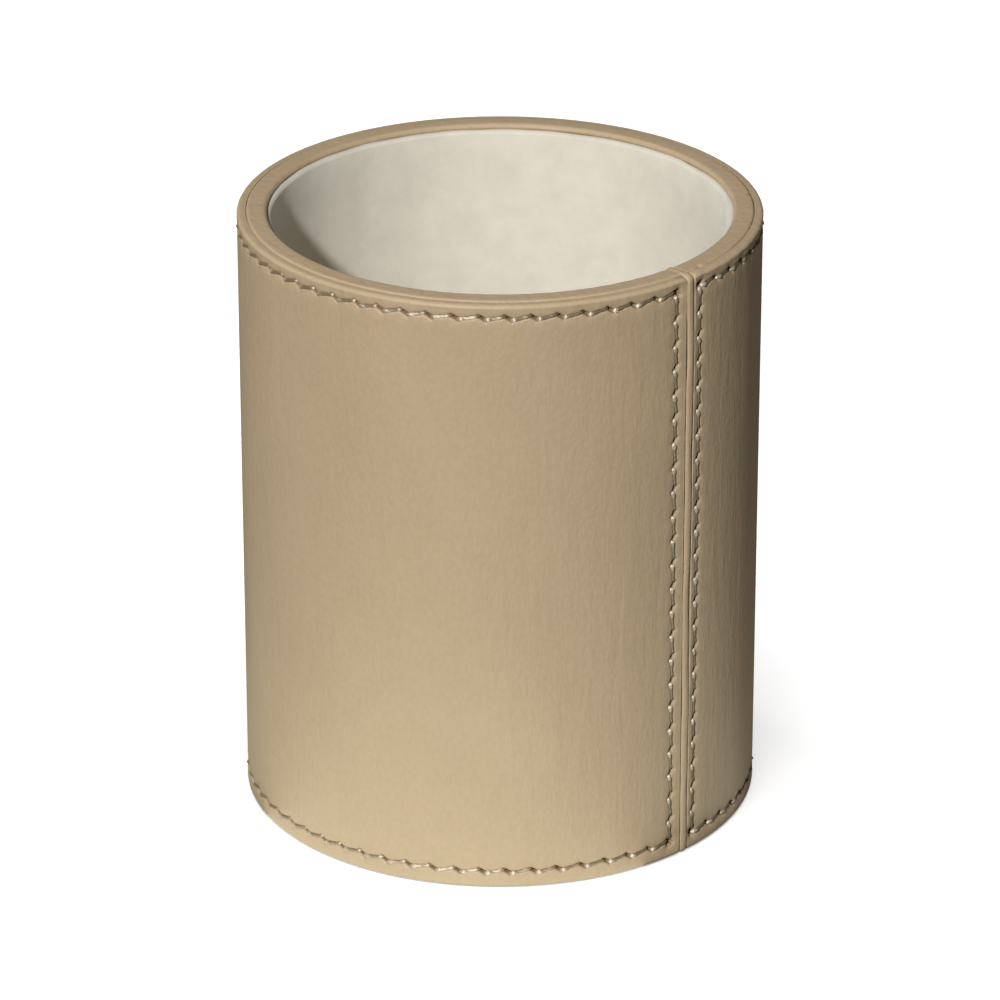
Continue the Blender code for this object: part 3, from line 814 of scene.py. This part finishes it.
def make_rim_band(material):
    """The leather strip folded over the tube's top edge, with the small creases that the fold leaves."""
    outer, inner = SKIN_RADIUS, RIM_INNER_RADIUS
    back_outer, back_inner = outer - SKIN_LEATHER, inner + SKIN_LEATHER
    soft, inner_soft = 0.45 * MM, 0.60 * MM
    mouth = inner - RIM_SWELL + inner_soft
    profile = (upright(outer, RIM_BOTTOM, RIM_TOP - soft, 1.5 * MM)
               + arc((outer - soft, RIM_TOP - soft), soft, 0, 90, 7)[1:]
               + [(r, RIM_TOP) for r in np.linspace(outer - soft, mouth, 7)[1:-1]]
               + arc((mouth, RIM_TOP - inner_soft), inner_soft, 90, 242, 15)
               + upright(inner, SWELL_LOW - 0.1 * MM, RIM_BOTTOM, 1.5 * MM)
               + upright(back_inner, RIM_BOTTOM, RIM_TOP - SKIN_LEATHER, 4 * MM)
               + upright(back_outer, RIM_TOP - SKIN_LEATHER, RIM_BOTTOM, 4 * MM))

    def shape(angle, radius, height):
        at_top = smooth((height - (RIM_TOP - 1.2 * MM)) / (1.0 * MM))
        outside = (radius > back_outer + HAIR) | (height > RIM_TOP - SKIN_LEATHER + HAIR) | (
            radius < back_inner - 0.2 * MM)
        crown = ((radius - (outer + inner) / 2) / ((outer - inner) / 2)) ** 4
        sag = 0.03 * MM * crown + 0.03 * MM + ripple(angle, 0.04 * MM, (7, 16, 31, 44, 73), seed=5)
        for from_seam, depth in RIM_NICKS:
            along = (angle - (math.pi - from_seam / SKIN_RADIUS)) * SKIN_RADIUS
            across = radius - (outer - 0.15 * MM)
            sag = sag + depth * np.exp(-(along / (0.45 * MM)) ** 2 - (across / (0.35 * MM)) ** 2)
        pinch = 0.02 * MM * np.abs(np.sin(61 * angle + 2 * np.sin(7 * angle))) ** 6
        new_height = height - at_top * outside * (sag + pinch)
        new_radius = radius + outside * at_top * ripple(angle, 0.05 * MM, (5, 12, 29, 57), seed=6)
        return new_radius, new_height

    sweep = math.pi - SEAM_HALF_GAP / OUTER_RADIUS
    obj = lathe("rim_band_leather", profile, columns=720, material=material, sweep=sweep, shape=shape)
    heights = np.array([v.co.z for v in obj.data.vertices])
    radii = np.array([math.hypot(v.co.x, v.co.y) for v in obj.data.vertices])
    on_top = smooth((heights - (RIM_TOP - 0.8 * MM)) / (0.7 * MM))
    near_mouth = np.exp(-((radii - mouth - 0.6 * MM) / (0.5 * MM)) ** 2)
    put_attribute(obj, "wear", on_top * (0.35 + 0.45 * near_mouth))
    put_attribute(obj, "soil", np.zeros(len(heights)))
    place(obj, "rim_band")


def make_lining_sleeve(material):
    """The suede tube, its top edge rolled over the liner board in an uneven soft lip."""
    inner, outer, back = LINING_INNER_RADIUS, LIP_RADIUS, LINING_INNER_RADIUS + LINING_CLOTH
    top = LIP_TOP - LIP_SETTLE
    lip_low = top - LINING_CLOTH
    soft = 0.72 * MM
    small = 0.26 * MM
    profile = (upright(inner, SLEEVE_BOTTOM, top - soft, 2.5 * MM)
               + arc((inner + soft, top - soft), soft, 180, 90, 7)[1:]
               + arc((outer - small, top - small), small, 90, 0, 5)
               + [(outer, lip_low), (back, lip_low)]
               + upright(back, lip_low - 0.02 * MM, SLEEVE_BOTTOM, 8 * MM)[1:])

    def shape(angle, radius, height):
        up = smooth((height - 60 * MM) / (38 * MM))
        facing = (radius < back - HAIR) | (height > lip_low + HAIR)
        lip = smooth((height - (top - 1.0 * MM)) / (0.8 * MM)) * facing
        new_height = height - lip * (0.16 * MM + ripple(angle, 0.10 * MM, (3, 8, 17, 29), seed=7))
        bulge = ripple(angle, 0.05 * MM, (4, 9, 14), seed=8) * np.sin(height * 70)
        bulge = bulge + ripple(angle, 0.05 * MM, (5, 11, 21), seed=9)
        return radius + facing * (bulge * up) - lip * 0.02 * MM, new_height

    obj = lathe("lining_sleeve_suede", profile, columns=480, material=material, shape=shape)
    place(obj, "lining_sleeve")


def make_liner_board(material):
    """The liner's board sleeve, its top edge rubbed round and a little lower than in CAD, under the suede's
    lip."""
    inner, outer = LINING_INNER_RADIUS + LINING_CLOTH + LINER_CLEARANCE, LINER_HIGH.y
    top, low = LINER_HIGH.z - LIP_SETTLE, LINER_LOW.z
    soft = 0.1 * MM
    profile = (upright(outer, low, top - soft, 4 * MM) + arc((outer - soft, top - soft), soft, 0, 90, 3)[1:]
               + arc((inner + soft, top - soft), soft, 90, 180, 3)
               + upright(inner, top - soft, low, 4 * MM)[1:])

    def shape(angle, radius, height):
        return radius, height - smooth((height - (top - 1.0 * MM)) / (1.0 * MM)) * (
            0.30 * MM + ripple(angle, 0.06 * MM, (6, 13, 22), seed=14))

    obj = lathe("liner_board_sleeve", profile, columns=240, material=material, shape=shape)
    place(obj, "liner_board")


def make_lining_floor(material):
    """The suede disc on the cup's floor, its cut edge soft and its middle very slightly domed."""
    radius, low, high = FLOOR_HIGH.x, FLOOR_LOW.z, FLOOR_HIGH.z
    soft = (high - low) / 2
    profile = ([(0, low)] + [(r, low) for r in np.linspace(4 * MM, radius - soft, 9)]
               + arc((radius - soft, low + soft), soft, -90, 90, 8)[1:]
               + [(r, high) for r in np.linspace(radius - soft, 4 * MM, 14)[1:]] + [(0, high)])

    def shape(angle, r, height):
        top = height > low + soft
        lift = ripple(angle, 0.05 * MM, (2, 3, 5), seed=12) * np.sin(r / radius * math.pi)
        return r, height + top * lift

    obj = lathe("lining_floor_suede", profile, columns=180, material=material, shape=shape)
    place(obj, "lining_floor")


def make_base_cover(material):
    """The leather under the cup, its edge turned up round the tube, with small pleats where the turn gathers
    it."""
    radius, top, low = BASE_HIGH.x, BASE_HIGH.z, BASE_LOW.z
    soft = 0.4 * MM
    back = radius - SKIN_LEATHER
    profile = ([(0, low)] + [(r, low) for r in np.linspace(3 * MM, radius - soft, 18)]
               + arc((radius - soft, low + soft), soft, -90, 0, 6)[1:]
               + upright(radius, low + soft, top, 0.8 * MM)[1:]
               + upright(back, top, low + SKIN_LEATHER, 2 * MM)
               + [(r, low + SKIN_LEATHER) for r in np.linspace(back, 3 * MM, 8)[1:]]
               + [(0, low + SKIN_LEATHER)])

    def shape(angle, r, height):
        outside = r > back + HAIR
        climb = smooth((height - 1.0 * MM) / (5 * MM)) * outside
        pleat = 0.10 * MM * np.abs(np.sin(36 * angle + np.sin(5 * angle))) ** 4
        return r - climb * pleat, height

    obj = lathe("base_cover_leather", profile, columns=720, material=material, shape=shape)
    count = len(obj.data.vertices)
    put_attribute(obj, "wear", np.full(count, 0.15))
    put_attribute(obj, "soil", np.zeros(count))
    place(obj, "base_cover")


def finish_cad_node(name, material):
    """A CAD piece that stays as it is gets its own procedural material."""
    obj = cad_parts[name]
    if not obj.material_slots:
        obj.data.materials.append(material)
    for material_slot in obj.material_slots:
        material_slot.material = material


# ---------------------------------------------------------------- stage, light and camera

CAMERA_TURN = math.radians(-44.9)
CAMERA_RISE = math.radians(24.14)
CAMERA_DISTANCE = 0.9045
CAMERA_LENS = 201
CAMERA_SENSOR = 36
CAMERA_REACH = 20
CUP_MIDDLE = Vector((0, 0, 0.05))
AIM = Vector((0, 0, 0.0488))


def toward(turn, rise, distance, centre):
    """A point at that turn round the cup from the front, height angle and distance."""
    return centre + distance * Vector((math.sin(turn) * math.cos(rise), -math.cos(turn) * math.cos(rise),
                                       math.sin(rise)))


def make_camera():
    """A long lens at the photograph's viewing angle."""
    camera = bpy.data.objects.new("camera", bpy.data.cameras.new("camera"))
    bpy.context.scene.collection.objects.link(camera)
    camera.data.lens = CAMERA_LENS
    camera.data.sensor_width = CAMERA_SENSOR
    camera.location = toward(CAMERA_TURN, CAMERA_RISE, CAMERA_DISTANCE, CUP_MIDDLE)
    camera.rotation_euler = (AIM - camera.location).to_track_quat("-Z", "Y").to_euler()
    camera.data.clip_end = CAMERA_REACH
    bpy.context.scene.camera = camera


def make_area_light(name, turn, rise, distance, size, power, colour=(1, 1, 1)):
    """A round soft light that faces the cup, turn degrees to the right of the camera and rise degrees up."""
    light = bpy.data.lights.new(name, "AREA")
    light.shape = "DISK"
    light.size = size
    light.energy = power
    light.color = colour
    obj = bpy.data.objects.new(name, light)
    bpy.context.scene.collection.objects.link(obj)
    obj.location = toward(CAMERA_TURN + math.radians(turn), math.radians(rise), distance, AIM)
    obj.rotation_euler = (AIM - obj.location).to_track_quat("-Z", "Y").to_euler()
    obj.visible_camera = False
    return obj


BACK_FILL_COLOUR = (0.93, 1.0, 0.97)
SKY_STRENGTH = 0.035
FLOOR_COLOUR = (0.95, 0.95, 0.95)
FLOOR_GLOW = 0.35
FLOOR_HALF_WIDTH = 4
FLOOR_DROP = 0.02 * MM      # it lies this far under the cup, so that the two surfaces don't coincide
BOUNCE_COLOUR = (0.95, 1.0, 0.93)
BOUNCE_HEIGHT = 0.12 * MM


def make_bounce(name, turn, distance, size, power):
    """Light that comes up off the table near the foot."""
    bounce = make_area_light(name, turn, 0, distance, size, power, BOUNCE_COLOUR)
    bounce.location.z = BOUNCE_HEIGHT
    bounce.rotation_euler = (math.pi, 0, 0)
    return bounce


LEATHER_LOOKS = ("outer_wrap_leather", "rim_band_leather", "seam_welt_bead")
MATT_LOOKS = (*LEATHER_LOOKS, "base_cover_leather", "lining_sleeve_suede", "lining_floor_suede")
CUP_LOOKS = (*MATT_LOOKS, "needle_thread_twisted")


def light_only(light, names):
    """The light reaches only these objects."""
    lit = bpy.data.collections.new("lit_by_" + light.name)
    for name in names:
        lit.objects.link(bpy.data.objects[name])
    light.light_linking.receiver_collection = lit


def make_lights():
    """A soft key a little left of the camera, fill from behind on the left, above and on the right, and
    light off the table at the foot."""
    key = make_area_light("key_light", turn=-17.5, rise=31.5, distance=1.5, size=0.08, power=21.7)
    back_fill = make_area_light("back_fill", turn=-128, rise=6, distance=1.2, size=0.5, power=7.0,
                                colour=BACK_FILL_COLOUR)
    overhead = make_area_light("overhead", turn=-15, rise=79, distance=1.2, size=0.4, power=3.6)
    right_fill = make_area_light("right_fill", turn=92, rise=2, distance=1.2, size=0.5, power=2.1)
    make_bounce("table_bounce", turn=-16, distance=0.072, size=0.11, power=0.034)
    make_bounce("table_bounce_left", turn=-92, distance=0.084, size=0.085, power=0.0042)
    bounce_right = make_bounce("table_bounce_right", turn=66, distance=0.086, size=0.085, power=0.0092)
    for fill in (back_fill, overhead, right_fill):
        fill.visible_glossy = False
    for light, names in ((key, CUP_LOOKS), (overhead, LEATHER_LOOKS), (right_fill, MATT_LOOKS),
                         (bounce_right, MATT_LOOKS)):
        light_only(light, names)
    world = bpy.data.worlds.new("world")
    world.use_nodes = True
    background = world.node_tree.nodes["Background"]
    background.inputs["Color"].default_value = (1, 1, 1, 1)
    background.inputs["Strength"].default_value = SKY_STRENGTH
    bpy.context.scene.world = world


def make_floor():
    """A plain pale floor that runs past the view. It glows faintly and has lights of its own, so that it is
    white, and it throws no light on the cup: the bounce lights do that."""
    bm = bmesh.new()
    bmesh.ops.create_grid(bm, x_segments=8, y_segments=8, size=FLOOR_HALF_WIDTH)
    mesh = bpy.data.meshes.new("floor")
    bm.to_mesh(mesh)
    bm.free()
    floor = bpy.data.objects.new("floor", mesh)
    bpy.context.scene.collection.objects.link(floor)
    floor.location.z = -FLOOR_DROP
    white = new_material("floor_white", FLOOR_COLOUR, 0.9, specular=0.1)
    shader = white.node_tree.nodes["Principled BSDF"]
    shader.inputs["Emission Color"].default_value = (1, 1, 1, 1)
    shader.inputs["Emission Strength"].default_value = FLOOR_GLOW
    mesh.materials.append(white)
    floor.visible_diffuse = False
    floor.visible_glossy = False
    above = make_area_light("floor_light", turn=0, rise=80, distance=2.0, size=1.6, power=36)
    before = make_area_light("floor_front", turn=-17, rise=22, distance=1.8, size=1.3, power=12)
    light_only(above, ["floor"])
    light_only(before, ["floor"])


# ---------------------------------------------------------------- the cup

def make_cup():
    """Every detailed piece of the cup, and a material on every CAD node."""
    leather, suede, thread, board = leather_material(), suede_material(), thread_material(), board_material()
    rows = make_rows()
    make_outer_wrap(leather, rows)
    make_needle_thread(thread, rows)
    make_seam_welt(leather)
    make_rim_band(leather)
    make_base_cover(leather)
    make_lining_sleeve(suede)
    make_liner_board(board)
    make_lining_floor(suede)
    for material, names in (
            (leather, ("outer_wrap", "seam_welt", "rim_band", "base_cover")),
            (suede, ("lining_sleeve", "lining_floor")),
            (thread, ("needle_thread", "bobbin_thread")),
            (board, ("core_tube", "filler_board", "liner_board", "base_board", "floor_board"))):
        for name in names:
            finish_cad_node(name, material)


make_cup()
make_camera()
make_lights()
make_floor()
bpy.context.scene.view_settings.view_transform = "Standard"
